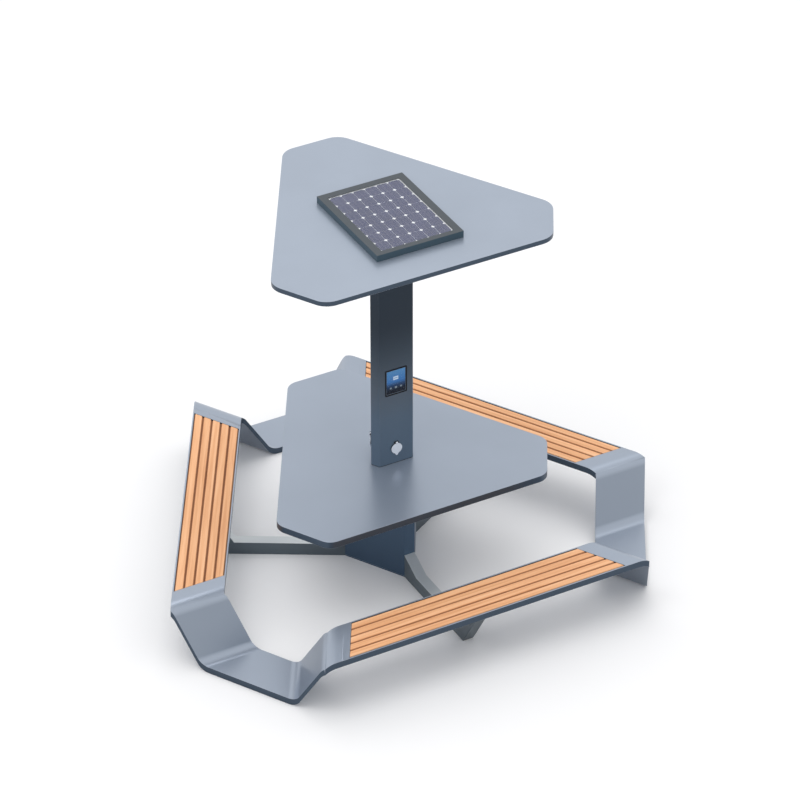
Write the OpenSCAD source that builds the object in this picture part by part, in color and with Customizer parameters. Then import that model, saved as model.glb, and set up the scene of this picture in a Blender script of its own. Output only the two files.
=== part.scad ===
// A three sided bench and table with a charging post and a solar roof.
// The seats, legs and feet form one ring that dips to the floor at the
// three corners. Everything is placed round the upright axis of the post.
// The origin is on that axis, at the floor. Lengths are in millimetres.

/* [Seats] */
// Height of the seats above the floor
seat_h = 405; // [380:1:460]
// Distance from the axis to the inner edge of a seat
seat_in = 1011; // [960:1:1080]
// Width of the seats, legs and feet in plan
ring_w = 327; // [290:1:380]
// Thickness of the seats, legs and feet
ring_t = 45; // [42:1:60]
// Thickness of the steel sheet that the ring is folded from
sheet_t = 4; // [3:0.5:5]
// Width of the steel rim beside the outermost slats
rim_w = 9; // [6:1:14]
// Bare steel at each end of a seat, from the mitre to the slat ends
end_margin = 148; // [140:1:180]
// Number of slats on a seat
slat_count = 5; // [3:1:7]
// Width of the groove between the upper sides of two slats
slat_gap = 15; // [8:0.5:20]
// Depth of that groove, down to the lips at the slats' lower sides
groove_d = 8; // [5:0.5:12]
// Gap between the lips of two slats, which drains the groove
lip_gap = 2; // [1:0.5:4]
// Gap between the outermost lips and the rim
slat_side_gap = 1.5; // [1:0.25:4]
// Gap at the ends of the slats
slat_end_gap = 1.5; // [1:0.25:4]
// Thickness of a slat
slat_t = 28; // [22:1:29]

/* [Corners] */
// Distance from the axis to the inner edge of a corner foot
foot_in = 1354; // [1320:1:1420]
// Slope of a leg from the floor, in degrees
leg_slope = 62; // [56:1:70]
// Radius of the upper side where a seat bends into a leg
top_bend_r = 110; // [80:1:130]
// Radius of the upper side where a leg bends into a foot
foot_bend_r = 85; // [60:1:110]

/* [Floor arms] */
// Width of a floor arm, and of the narrow sides of the pedestal
arm_w = 76; // [64:1:90]
// Height of a floor arm
arm_h = 92; // [70:1:110]
// Wall of a floor arm
arm_wall = 5; // [4:0.5:8]
// Slope of the arm's outer end from the floor, in degrees
arm_slope = 59; // [52:1:70]
// Distance of the arm's head outwards from the middle of the seat
head_shift = 50; // [0:1:60]
// Height of the gusset where the arm meets the pedestal
gusset_h = 175; // [130:1:220]
// Length of the gusset along the arm
gusset_l = 160; // [100:1:240]

/* [Pedestal] */
// Distance from the axis to a wide side of the pedestal
ped_wide = 175; // [170:1:195]
// Wall of the pedestal
ped_wall = 5; // [4:0.5:6]
// Thickness of the pedestal's base and top plates
ped_plate_t = 8; // [6:1:12]
// Distance from the axis to a ground anchor
anchor_d = 230; // [215:1:240]
// Radius of a ground anchor hole
anchor_r = 7; // [5:0.5:9]

/* [Service door] */
// Width of the service door
door_w = 340; // [320:1:350]
// Height of the service door
door_l = 470; // [420:1:500]
// Height of the door's lower edge above the floor
door_z = 150; // [120:1:180]
// Thickness of the door
door_t = 4; // [3:0.5:5]
// Overlap of the door on the pedestal round the opening
door_lap = 15; // [12:1:16]

/* [Table] */
// Height of the table top above the floor
table_h = 789; // [740:1:820]
// Distance from the axis to a long side of the table
table_wide = 685; // [620:1:720]
// Distance from the axis to a short side of the table
table_short = 1025; // [980:1:1060]
// Thickness of the table
table_t = 48; // [42:1:60]
// Corner radius of the table
table_r = 100; // [60:1:120]

/* [Post] */
// Distance from the axis to a wide side of the post
post_wide = 107; // [102:1:120]
// Width of the narrow sides of the post
post_narrow = 64; // [50:1:76]
// Wall of the post
post_wall = 4; // [3:0.5:5]
// Radius of the post's upright edges
post_edge_r = 9; // [6:1:14]
// Thickness of the dark gasket under the post
gasket_t = 3; // [2:0.5:5]
// Thickness of the post's foot and cap plates
post_plate_t = 10; // [8:1:14]

/* [Roof] */
// Height of the roof's upper side above the floor
roof_h = 2581; // [2300:1:2700]
// Distance from the axis to a long side of the roof
roof_wide = 688; // [620:1:740]
// Distance from the axis to a short side of the roof
roof_short = 1030; // [980:1:1080]
// Thickness of the roof
roof_t = 34; // [30:1:50]
// Corner radius of the roof
roof_r = 130; // [80:1:150]

/* [Solar panel] */
// Length of the panel, square to the front seat
panel_l = 793; // [700:1:860]
// Width of the panel
panel_w = 606; // [540:1:660]
// Depth of the panel's frame
panel_t = 46; // [36:1:60]
// Shift of the panel's middle from the axis towards the front seat
panel_shift = 31; // [0:1:60]
// Width of the frame's flange on top
panel_lip = 52; // [40:1:60]
// Width of that flange at the panel's front end
panel_front_lip = 40; // [30:1:60]
// Bare backsheet between the flange and the outer cells
cell_margin = 4; // [2:1:10]
// Number of cells along the panel
cells_long = 7; // [5:1:9]
// Number of cells across the panel
cells_wide = 6; // [4:1:8]
// Gap between two cells
cell_gap = 2; // [1:0.5:4]
// Length cut off each corner of a cell, along its side
cell_cut = 11; // [6:1:16]

/* [Display] */
// Width of the display's bezel
display_w = 156; // [130:1:180]
// Height of the display's bezel
display_l = 195; // [160:1:240]
// Height of the display's middle above the sockets
display_up = 513; // [400:1:700]
// Distance that the bezel stands out of the post
display_out = 3; // [2:0.5:6]

/* [Charging sockets] */
// Height of the sockets above the table
socket_up = 116; // [111:1:210]
// Radius of a socket's bore
socket_r = 10.5; // [8:0.5:12]
// Depth of a socket's bore
socket_l = 36; // [28:1:38]
// Radius of a socket's flange on the post
flange_r = 34; // [30:1:36]
// Radius of the round flip cover
cover_r = 38; // [37:1:44]
// Radius of the flip cover's hinge pin
cover_pin_r = 2; // [1.5:0.25:2.5]

/* [Battery] */
// Width of the battery
battery_w = 330; // [300:1:334]
// Depth of the battery
battery_d = 172; // [150:1:174]
// Height of the battery
battery_h = 218; // [180:1:260]

/* [Hidden] */
$fn = 48;

// Directions of the three seats and of the three corners, in degrees
left_angle = 180;
front_angle = -60;
back_angle = 60;
near_left_angle = 240;
rightmost_angle = 0;
far_left_angle = 120;
seat_angles = [left_angle, front_angle, back_angle];
corner_angles = [near_left_angle, rightmost_angle, far_left_angle];
// Angle between a seat's direction and the next corner's, and the mitre's
quarter_angle = 90;
sixth_angle = 60;
mitre_angle = 30;

// One overrun for all cuts, and the clearances of fits
over = 10;
run_gap = 0.05;
hole_gap = 0.2;
seam = 0.5;

// Unit vector, left normal and turned point in the plane
function unit(v) = v / norm(v);
function left_of(v) = [-v[1], v[0]];
function turn(a, p) = [p[0] * cos(a) - p[1] * sin(a), p[0] * sin(a) + p[1] * cos(a)];
function sym(w) = [-w / 2, w / 2];
function from_to(z, low, high) = [z + low, z + high];

// Mean inward normal at a corner of a closed outline that runs anticlockwise
function inward(p, i) =
    let (
        n = len(p),
        m = left_of(unit(p[i] - p[(i + n - 1) % n])),
        k = left_of(unit(p[(i + 1) % n] - p[i]))
    ) (m + k) / (1 + m * k);
function shrink(p, d) = [for (i = [0:len(p) - 1]) p[i] + inward(p, i) * d];

// A triangle with its corners cut off: wide sides at distance a from the
// axis, the first of them in direction first, and narrow sides at distance b
function cut_triangle(a, b, first) =
    let (h = (b - a * cos(sixth_angle)) / sin(sixth_angle))
    [for (k = [0:2]) for (u = sym(2 * h)) turn(first + 2 * sixth_angle * k, [a, u])];
// Distance of the narrow sides that gives them the width w
function narrow_at(a, w) = (a - w / 2 * sin(sixth_angle)) / cos(sixth_angle);

// The same outline with each corner rounded by an arc over one sixth turn
arc_steps = 8;
function rounded(p, r) =
    [for (i = [0:len(p) - 1])
        let (
            c = p[i] + inward(p, i) * r,
            e = unit(p[i] - p[(i + len(p) - 1) % len(p)]),
            first = atan2(-e[0], e[1])
        )
        for (k = [0:arc_steps]) let (f = first + sixth_angle * k / arc_steps) c + r * [cos(f), sin(f)]];

module plate(p, z, t) translate([0, 0, z]) linear_extrude(t) polygon(p);
module block(x, y, z)
    translate([x[0], y[0], z[0]]) cube([x[1] - x[0], y[1] - y[0], z[1] - z[0]]);
module at(a) rotate([0, 0, a]) children();
module disc(r, z) translate([0, 0, z[0]]) cylinder(r = r, h = z[1] - z[0]);
module rod_x(r, x) translate([x[0], 0, 0]) rotate([0, 90, 0]) cylinder(r = r, h = x[1] - x[0]);
module rod_y(r, y) translate([0, y[0], 0]) rotate([-90, 0, 0]) cylinder(r = r, h = y[1] - y[0]);
// An upright profile, drawn as distance and height, as wide as w
module upright(p, w)
    rotate([90, 0, 0]) linear_extrude(w, center = true) polygon(p);

// Levels
seat_low = seat_h - ring_t;
tray_floor = seat_low + sheet_t;
slat_low = seat_h - slat_t;
table_low = table_h - table_t;
roof_low = roof_h - roof_t;
ped_top_low = table_low - ped_plate_t;
post_low = table_h + gasket_t;
socket_z = table_h + socket_up;
display_z = socket_z + display_up;
foot_plate_top = post_low + post_plate_t;
cap_plate_low = roof_low - post_plate_t;

// Outlines of the pedestal, post, table and roof
ped_narrow_d = narrow_at(ped_wide, arm_w);
ped_outline = cut_triangle(ped_wide, ped_narrow_d, rightmost_angle);
post_outline = cut_triangle(post_wide, narrow_at(post_wide, post_narrow), front_angle);
table_outline = cut_triangle(table_wide, table_short, front_angle);
roof_outline = cut_triangle(roof_wide, roof_short, front_angle);

// Screws and bolts
bolt_r = 5;
bolt_head_r = 9;
bolt_head_h = 6.5;
small_bolt_r = 4;
small_head_r = 7;
small_head_h = 4;
hex = 6;
// A bolt that points up from the plane z = 0, with its head below it
module bolt(r, l, head_r, head_h) {
    cylinder(r = r, h = l);
    translate([0, 0, -head_h]) cylinder(r = head_r, h = head_h, $fn = hex);
}

// The ring: the mitre line of a corner, measured square to it from the axis
foot_out = foot_in + ring_w;
seat_out = seat_in + ring_w;
mitre_w = foot_in * sin(mitre_angle) - (seat_in - foot_in * cos(sixth_angle));
// Tangent lengths of the two bends
top_tangent = top_bend_r * tan(leg_slope / 2);
foot_tangent = foot_bend_r * tan(leg_slope / 2);
// Where a leg's upper side would meet the foot's
foot_w = mitre_w + (seat_h - ring_t) / tan(leg_slope);
// The flat stretch of a corner frame on the seat's side, up to its seam
tab_l = 34;
seam_w = mitre_w - top_tangent - tab_l;
bend_steps = 10;
// Plan distance along a seat from its middle to a line square to the mitre
function along(w, v) = w / cos(mitre_angle) + v * tan(mitre_angle);

// The curve of the ring's cross-section at the depth d below its upper side
function ring_curve(d) = concat(
    [for (k = [0:bend_steps])
        let (f = quarter_angle - leg_slope * k / bend_steps)
        [mitre_w - top_tangent, seat_h - top_bend_r] + (top_bend_r - d) * [cos(f), sin(f)]],
    [for (k = [bend_steps:-1:0])
        let (f = quarter_angle - leg_slope * k / bend_steps)
        [foot_w + foot_tangent, ring_t + foot_bend_r] - (foot_bend_r + d) * [cos(f), sin(f)]]
);
// A corner's plan point at distance b, on the line w of the leg on its left
function corner_point(b, w) = [b, (b * sin(mitre_angle) - w) / cos(mitre_angle)];
// Plan of a corner frame, drawn inwards by d, its tabs on the seats up to w0
function corner_plan(d, w0) =
    let (
        out = corner_point(foot_out - d, mitre_w),
        in = corner_point(foot_in + d, mitre_w),
        back = turn(quarter_angle + sixth_angle, [(mitre_w - w0) / cos(mitre_angle), 0]),
        half = [out, out + back, in + back, in]
    )
    concat(half, [for (i = [3:-1:0]) [half[i][0], -half[i][1]]]);
foot_end_w = foot_w + foot_tangent;
// A solid that lies above or below the ring, in the seat's frame on that side
module on_side(side) mirror([0, side, 0]) rotate([0, 0, -sixth_angle]) children();
module above_leg(side, d) on_side(side)
    upright(concat([[0, seat_h + over], [0, seat_h - d]], ring_curve(d),
        [[foot_out, ring_t - d], [foot_out, seat_h + over]]), 3 * foot_out);
module below_leg(side, d) on_side(side)
    upright(concat([[0, -over], [0, seat_low + d]], [for (p = ring_curve(-d)) p - [0, ring_t]],
        [[foot_end_w, -over]]), 3 * foot_out);
// The ring's corner, as thick as ring_t measured upright and drawn inwards by d
module ring_corner(d, w0) difference() {
    plate(corner_plan(d, w0), d, seat_h);
    intersection() {
        above_leg(0, d);
        above_leg(1, d);
    }
    for (side = [0, 1]) below_leg(side, d);
}

// Places of the splice bolts at a seat's end, in the seat's own frame
splice_share = [0.22, 0.78];
splice_step = 24;
splice_t = 6;
splice_inset = 12;
module splice_places(side, beyond)
    for (s = splice_share, w = beyond ? [splice_step] : [-splice_step])
        let (v = seat_in + s * ring_w)
        translate([v, side * along(seam_w + w, v), 0]) children();

module corner_frame(a) color([0.42, 0.48, 0.54]) at(a) difference() {
    ring_corner(0, seam_w);
    ring_corner(sheet_t, seam_w - over);
    for (side = [-1, 1]) at(-side * sixth_angle) splice_places(side, true)
        disc(small_bolt_r + hole_gap, [seat_low - over, tray_floor + over]);
}

// Seat frame: a tray for the slats between two closed, hollow ends
slat_end_w = mitre_w - end_margin;
function seat_plan(d, w) = [
    [seat_in + d, -along(w, seat_in + d)], [seat_out - d, -along(w, seat_out - d)],
    [seat_out - d, along(w, seat_out - d)], [seat_in + d, along(w, seat_in + d)]
];
tray_end_w = slat_end_w + slat_end_gap;
head_v = seat_in + ring_w / 2 + head_shift;
head_bolt_y = arm_w / 4;
module seat_frame(a) color([0.42, 0.48, 0.54]) at(a) difference() {
    plate(seat_plan(0, seam_w), seat_low, ring_t);
    plate(seat_plan(rim_w, tray_end_w), tray_floor, ring_t);
    difference() {
        plate(seat_plan(sheet_t, seam_w + over), tray_floor, ring_t - 2 * sheet_t);
        plate(seat_plan(-over, tray_end_w + sheet_t), seat_low, ring_t);
    }
    for (side = [-1, 1]) splice_places(side, false)
        disc(small_bolt_r + hole_gap, [seat_low - over, tray_floor + over]);
    for (y = [-head_bolt_y, head_bolt_y]) translate([head_v, y, 0])
        disc(bolt_r + hole_gap, [seat_low - over, tray_floor + over]);
}

// Splice plates inside the seams, and their bolts from below
module splice_plates() color([0.6, 0.62, 0.64])
    for (a = seat_angles, side = [-1, 1]) at(a) difference() {
        intersection() {
            plate(seat_plan(sheet_t + splice_inset, seam_w + tab_l - splice_t), tray_floor, splice_t);
            block([seat_in, seat_out], side > 0 ? [0, 2 * foot_out] : [-2 * foot_out, 0], [seat_low, seat_h]);
            difference() {
                plate(seat_plan(0, seam_w + tab_l), seat_low, ring_t);
                plate(seat_plan(-over, seam_w - tab_l), seat_low - over, ring_t + 2 * over);
            }
        }
        for (beyond = [true, false]) splice_places(side, beyond)
            disc(small_bolt_r + hole_gap, [seat_low, seat_h]);
    }
module splice_bolts() color([0.7, 0.71, 0.72])
    for (a = seat_angles, side = [-1, 1], beyond = [true, false]) at(a) splice_places(side, beyond)
        translate([0, 0, seat_low]) bolt(small_bolt_r, sheet_t + 2 * splice_t, small_head_r, small_head_h);

// Slats, the bearers under them and the screws from below
slat_inset = rim_w + slat_side_gap;
slat_pitch = (ring_w - 2 * slat_inset + lip_gap) / slat_count;
lips_w = slat_pitch - lip_gap;
bearer_w = 40;
bearer_shares = [-0.96, -0.36, 0.36, 0.96];
bearer_reach = along(slat_end_w, seat_in);
screw_r = 2.5;
screw_head_r = 4.5;
screw_head_h = 3;
screw_depth = 16;
function slat_mid(i) = seat_in + slat_inset + lips_w / 2 + slat_pitch * i;
module screw_places(s) for (i = [0:slat_count - 1])
    translate([slat_mid(i), s * bearer_reach - sign(s) * bearer_w / 2, tray_floor]) children();
module seat_slats(a) color([0.94, 0.70, 0.52]) at(a) difference() {
    for (i = [0:slat_count - 1]) let (v0 = slat_mid(i) - lips_w / 2, v1 = slat_mid(i) + lips_w / 2)
        plate([
            [v0, -along(slat_end_w, v0)], [v1, -along(slat_end_w, v1)],
            [v1, along(slat_end_w, v1)], [v0, along(slat_end_w, v0)]
        ], slat_low, slat_t);
    for (i = [0:slat_count])
        block(from_to(slat_mid(i) - slat_pitch / 2, -slat_gap / 2, slat_gap / 2), sym(2 * foot_out),
            [seat_h - groove_d, seat_h + over]);
    for (s = bearer_shares) screw_places(s)
        cylinder(r = screw_r + run_gap, h = slat_low - tray_floor + screw_depth + hole_gap);
}
module slat_bearers() color([0.5, 0.52, 0.55]) for (a = seat_angles) at(a) difference() {
    for (s = bearer_shares) translate([0, s * bearer_reach - sign(s) * bearer_w / 2, 0])
        block([seat_in + slat_inset, seat_out - slat_inset], sym(bearer_w),
            [tray_floor, slat_low]);
    for (s = bearer_shares) screw_places(s) {
        translate([0, 0, -over]) cylinder(r = screw_r + run_gap, h = ring_t);
        translate([0, 0, -over]) cylinder(r = screw_head_r + hole_gap, h = screw_head_h + over);
    }
}
module slat_screws() color([0.7, 0.71, 0.72]) for (a = seat_angles) at(a)
    for (s = bearer_shares) screw_places(s) {
        cylinder(r = screw_head_r, h = screw_head_h);
        cylinder(r = screw_r, h = slat_low - tray_floor + screw_depth);
    }

// Floor arm: a box section from the pedestal along the floor and up to the seat
arm_thick_x = arm_h / sin(arm_slope);
arm_top_out = head_v + arm_thick_x / 2;
arm_low_out = arm_top_out - seat_low / tan(arm_slope);
arm_profile = [
    [ped_narrow_d, 0], [arm_low_out, 0], [arm_top_out, seat_low],
    [arm_top_out - arm_thick_x, seat_low],
    [arm_top_out - arm_thick_x - (seat_low - arm_h) / tan(arm_slope), arm_h],
    [ped_narrow_d + gusset_l, arm_h], [ped_narrow_d, gusset_h]
];
drain_r = 6;
module floor_arm(a) color([0.33, 0.39, 0.45]) at(a) difference() {
    upright(arm_profile, arm_w);
    upright(shrink(arm_profile, arm_wall), arm_w - 2 * arm_wall);
    translate([ped_narrow_d + gusset_l, 0, 0]) disc(drain_r, [-over, arm_wall + over]);
    for (y = [-head_bolt_y, head_bolt_y]) translate([head_v, y, 0])
        disc(bolt_r + hole_gap, [seat_low - arm_wall - over, seat_low + over]);
}
module arm_head_bolts() color([0.7, 0.71, 0.72]) for (a = seat_angles) at(a)
    for (y = [-head_bolt_y, head_bolt_y]) translate([head_v, y, tray_floor])
        mirror([0, 0, 1]) bolt(bolt_r, sheet_t + 2 * arm_wall, bolt_head_r, bolt_head_h);

// Cables run down the middle through these round passages
passage_r = 34;
module passage() disc(passage_r, [0, roof_h]);

// Pedestal
module base_plate() color([0.24, 0.29, 0.34]) difference() {
    plate(ped_outline, 0, ped_plate_t);
    for (a = seat_angles) at(a) translate([anchor_d, 0, 0]) disc(anchor_r, [-over, ped_plate_t + over]);
}
door_open_y = sym(door_w - 2 * door_lap);
door_open_z = [door_z + door_lap, door_z + door_l - door_lap];
module pedestal_shell() color([0.17, 0.23, 0.29]) difference() {
    plate(ped_outline, ped_plate_t, table_low - ped_plate_t);
    plate(shrink(ped_outline, ped_wall), 0, table_h);
    at(far_left_angle) block([ped_wide - ped_wall - over, ped_wide + over], door_open_y, door_open_z);
}
table_bolt_d = ped_wide - ped_wall - 3 * bolt_head_r;
module table_bolt_places() for (a = corner_angles) at(a) translate([table_bolt_d, 0, 0]) children();
module pedestal_top_plate() color([0.24, 0.29, 0.34]) difference() {
    plate(shrink(ped_outline, ped_wall + seam), ped_top_low, ped_plate_t);
    passage();
    table_bolt_places() disc(bolt_r + hole_gap, [0, table_h]);
}
module table_bolts() color([0.7, 0.71, 0.72]) table_bolt_places()
    translate([0, 0, ped_top_low]) bolt(bolt_r, ped_plate_t + table_t / 2, bolt_head_r, bolt_head_h);

// Table: a folded pan, a hub with ribs inside it, and a flat panel under it
rib_w = 40;
hub_rim = 60;
hub_plate = 8;
module pan(p, r, z, t, skin) difference() {
    plate(rounded(p, r), z, t);
    plate(rounded(shrink(p, skin), r - skin), z - over, t - skin + over);
}
module underpanel(p, r, z, skin)
    plate(rounded(shrink(p, skin + seam), r - skin - seam), z, skin - run_gap);
// Ribs out to the long and short sides, joined to a hub with the pedestal's plan
module ribs(wide, short, r, skin, z, t) {
    difference() {
        union() {
            plate(ped_outline, z, t);
            for (a = seat_angles) at(a) block([0, wide - skin - seam], sym(rib_w), [z, z + t]);
            for (a = corner_angles) at(a) block([0, short - skin - seam], sym(rib_w), [z, z + t]);
        }
        plate(shrink(ped_outline, hub_rim), z + hub_plate, t - 2 * hub_plate);
        passage();
        children();
    }
}
post_bolt_d = post_wide - post_wall - 2.5 * bolt_head_r;
module post_bolt_places() for (a = seat_angles) at(a) translate([post_bolt_d, 0, 0]) children();
module table_top() color([0.62, 0.68, 0.74]) difference() {
    pan(table_outline, table_r, table_low, table_t, sheet_t);
    passage();
    post_bolt_places() disc(bolt_r + hole_gap, [0, roof_h]);
}
module table_ribs() color([0.5, 0.52, 0.55])
    ribs(table_wide, table_short, table_r, sheet_t, table_low + sheet_t, table_t - 2 * sheet_t) {
        table_bolt_places() disc(bolt_r + hole_gap, [0, table_low + table_t / 2 + 2 * sheet_t]);
        post_bolt_places() disc(bolt_r + hole_gap, [table_low + table_t / 2, roof_h]);
    }
module table_underpanel() color([0.42, 0.48, 0.54]) difference() {
    underpanel(table_outline, table_r, table_low, sheet_t);
    passage();
    table_bolt_places() disc(bolt_r + hole_gap, [0, table_h]);
}

// Post
module post_gasket() color([0.07, 0.08, 0.09]) difference() {
    plate(rounded(post_outline, post_edge_r), table_h, gasket_t);
    passage();
    post_bolt_places() disc(bolt_r + hole_gap, [0, roof_h]);
}
glass_gap = 1;
display_rim = 12;
display_body_w = display_w - 2 * display_rim;
display_body_l = display_l - 2 * display_rim;
display_body_d = 38;
tube_wall = 6.5;
tube_r = socket_r + tube_wall;
module post_shell() color([0.27, 0.33, 0.39]) difference() {
    plate(rounded(post_outline, post_edge_r), post_low, roof_low - post_low);
    plate(rounded(shrink(post_outline, post_wall), post_edge_r - post_wall), 0, roof_h);
    at(front_angle) block([post_wide - post_wall - over, post_wide + over],
        sym(display_body_w), from_to(display_z, -display_body_l / 2, display_body_l / 2));
    for (a = seat_angles) at(a) translate([post_wide, 0, socket_z])
        rod_x(tube_r + hole_gap, [-post_wall - over, over]);
}
module post_inner(z)
    plate(rounded(shrink(post_outline, post_wall + seam), post_edge_r - post_wall - seam), z, post_plate_t);
module post_foot_plate() color([0.24, 0.29, 0.34]) difference() {
    post_inner(post_low);
    passage();
    post_bolt_places() disc(bolt_r + hole_gap, [0, roof_h]);
}
post_bolt_l = post_plate_t + gasket_t + sheet_t + hub_plate;
module post_foot_bolts() color([0.7, 0.71, 0.72]) post_bolt_places()
    translate([0, 0, foot_plate_top]) mirror([0, 0, 1]) bolt(bolt_r, post_bolt_l, bolt_head_r, bolt_head_h);
module post_cap_plate() color([0.24, 0.29, 0.34]) difference() {
    post_inner(cap_plate_low);
    passage();
    post_bolt_places() disc(bolt_r + hole_gap, [0, roof_h]);
}

// Roof
roof_skin = 3;
gland_r = 5;
module roof_top() color([0.62, 0.68, 0.74]) difference() {
    pan(roof_outline, roof_r, roof_low, roof_t, roof_skin);
    disc(gland_r, [0, roof_h + over]);
}
module roof_ribs() color([0.5, 0.52, 0.55])
    ribs(roof_wide, roof_short, roof_r, roof_skin, roof_low + roof_skin, roof_t - 2 * roof_skin)
        post_bolt_places() disc(bolt_r + hole_gap, [0, roof_low + roof_t / 2]);
module roof_underpanel() color([0.42, 0.48, 0.54]) difference() {
    underpanel(roof_outline, roof_r, roof_low, roof_skin);
    passage();
    post_bolt_places() disc(bolt_r + hole_gap, [0, roof_h]);
}
roof_bolt_l = post_plate_t + roof_skin + hub_plate;
module roof_bolts() color([0.7, 0.71, 0.72]) post_bolt_places()
    translate([0, 0, cap_plate_low]) bolt(bolt_r, roof_bolt_l, bolt_head_r, bolt_head_h);

// Solar panel: frame, glass, cells on a white backsheet, and junction box
glass_t = 4;
cell_t = 1;
backsheet_t = 3;
frame_wall = 3;
lip_t = 2;
panel_x = from_to(panel_shift, -panel_l / 2, panel_l / 2);
panel_y = sym(panel_w);
window_x = panel_x + [panel_lip, -panel_front_lip];
window_y = panel_y + panel_lip * [1, -1];
cells_x = window_x + cell_margin * [1, -1];
cells_y = window_y + cell_margin * [1, -1];
glass_z = from_to(roof_h + panel_t, -lip_t - glass_t, -lip_t);
cells_z = from_to(glass_z[0], -cell_t, 0);
backsheet_z = from_to(cells_z[0], -backsheet_t, 0);
inner_x = panel_x + (frame_wall + seam) * [1, -1];
inner_y = panel_y + (frame_wall + seam) * [1, -1];
ledge_w = 14;
module panel_frame() color([0.3, 0.33, 0.35]) at(front_angle) difference() {
    block(panel_x, panel_y, [roof_h + run_gap, roof_h + panel_t]);
    block(window_x, window_y, [roof_h - over, roof_h + panel_t + over]);
    for (z = [[backsheet_z[0], glass_z[1]], [roof_h + lip_t, backsheet_z[0] - lip_t]])
        block(panel_x + frame_wall * [1, -1], panel_y + frame_wall * [1, -1], z);
    block(panel_x + (frame_wall + ledge_w) * [1, -1], panel_y + (frame_wall + ledge_w) * [1, -1],
        [roof_h - over, backsheet_z[0]]);
}
module panel_glass() color([0.3, 0.32, 0.42, 0.5]) at(front_angle) block(inner_x, inner_y, glass_z);
cell_px = (cells_x[1] - cells_x[0]) / cells_long;
cell_py = (cells_y[1] - cells_y[0]) / cells_wide;
module panel_cell() {
    x = (cell_px - cell_gap) / 2;
    y = (cell_py - cell_gap) / 2;
    linear_extrude(cell_t) polygon([
        [x, cell_cut - y], [x, y - cell_cut], [x - cell_cut, y], [cell_cut - x, y],
        [-x, y - cell_cut], [-x, cell_cut - y], [cell_cut - x, -y], [x - cell_cut, -y]
    ]);
}
module panel_cells() color([0.33, 0.34, 0.45]) at(front_angle)
    for (i = [0:cells_long - 1], j = [0:cells_wide - 1])
        translate([cells_x[0] + cell_px * (i + 0.5), cells_y[0] + cell_py * (j + 0.5), cells_z[0]])
            panel_cell();
module panel_backsheet() color([0.9, 0.91, 0.93]) at(front_angle) block(inner_x, inner_y, backsheet_z);
jbox_w = 90;
jbox_h = backsheet_z[0] - roof_h - gasket_t;
cable_r = 4;
module junction_box() color([0.1, 0.1, 0.11]) at(front_angle)
    block(sym(jbox_w), sym(jbox_w), [backsheet_z[0] - jbox_h, backsheet_z[0]]);

// Display: a glazed bezel on the post, its screen and the box behind it
bezel_w = 7;
bezel_r = 6;
display_glass_t = 2;
screen_t = 5;
module rounded_plate(w, l, r, x)
    translate([x[0], 0, 0]) rotate([90, 0, 90]) linear_extrude(x[1] - x[0])
        polygon([for (q = [0:3], k = [0:arc_steps])
            let (f = 90 * q + 90 * k / arc_steps, sx = q == 0 || q == 3 ? 1 : -1, sy = q < 2 ? 1 : -1)
            [sx * (w / 2 - r), sy * (l / 2 - r)] + r * [cos(f), sin(f)]]);
module on_display() at(front_angle) translate([post_wide, 0, display_z]) children();
module display_bezel() color([0.03, 0.04, 0.05]) on_display() difference() {
    rounded_plate(display_w, display_l, bezel_r, [0, display_out]);
    rounded_plate(display_w - 2 * bezel_w, display_l - 2 * bezel_w, bezel_r / 2, [-over, display_out + over]);
}
module display_glass() color([0.1, 0.25, 0.5]) on_display()
    rounded_plate(display_w - 2 * bezel_w - seam, display_l - 2 * bezel_w - seam, bezel_r / 2,
        [display_out - display_glass_t - seam, display_out - seam]);
module display_screen() color([0.2, 0.4, 0.7]) on_display()
    block([display_out - display_glass_t - seam - screen_t, display_out - display_glass_t - seam],
        sym(display_body_w - 2 * seam), sym(display_body_l - 2 * seam));
housing_x = [-display_body_d, display_out - display_glass_t - seam - screen_t];
module display_housing() color([0.15, 0.16, 0.17]) on_display()
    block(housing_x, sym(display_body_w - 2 * seam), sym(display_body_l - 2 * seam));

// Charging sockets, one on each wide side of the post
flange_t = 6;
contact_t = 4;
sleeve_wall = 2.5;
socket_back = flange_t - socket_l - contact_t - sleeve_wall;
cover_gap = 0.4;
cover_t = 3.6;
hinge_x = 8;
hinge_rise = 10;
hinge_z = flange_r + hinge_rise;
knuckle_r = 4.5;
knuckle_w = 14;
lug_w = 7;
tab_t = 3;
cover_tab_w = 14;
cover_tab_end = 9;
cover_tab_l = 14;
tab_root_z = cover_r * cos(asin(cover_tab_w / cover_r));
module on_sockets(list) for (a = list) at(a) translate([post_wide, 0, socket_z]) children();
module on_hinge() translate([hinge_x, 0, hinge_z]) children();
module socket_housings() color([0.16, 0.18, 0.2]) on_sockets(seat_angles) difference() {
    union() {
        rod_x(flange_r, [0, flange_t]);
        rod_x(tube_r, [socket_back, flange_t]);
        block([0, tab_t], sym(knuckle_w + 2 * lug_w), [flange_r / 2, hinge_z + knuckle_r]);
        for (s = [-1, 1]) translate([0, s * (knuckle_w + lug_w) / 2, 0]) {
            block([0, hinge_x], sym(lug_w - 2 * hole_gap), from_to(hinge_z, -knuckle_r, knuckle_r));
            on_hinge() rod_y(knuckle_r, sym(lug_w - 2 * hole_gap));
        }
    }
    rod_x(socket_r + sleeve_wall + run_gap, [socket_back + sleeve_wall, flange_t + over]);
    on_hinge() rod_y(cover_pin_r + run_gap, sym(2 * flange_r));
}
module socket_sleeves() color([0.72, 0.73, 0.74]) on_sockets(seat_angles) difference() {
    rod_x(socket_r + sleeve_wall, [socket_back + sleeve_wall, flange_t]);
    rod_x(socket_r, [flange_t - socket_l, flange_t + over]);
}
module cover_pins() color([0.72, 0.73, 0.74]) on_sockets(seat_angles)
    on_hinge() rod_y(cover_pin_r, sym(knuckle_w + 2 * lug_w));
cover_x = from_to(flange_t + cover_gap, 0, cover_t);
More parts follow.
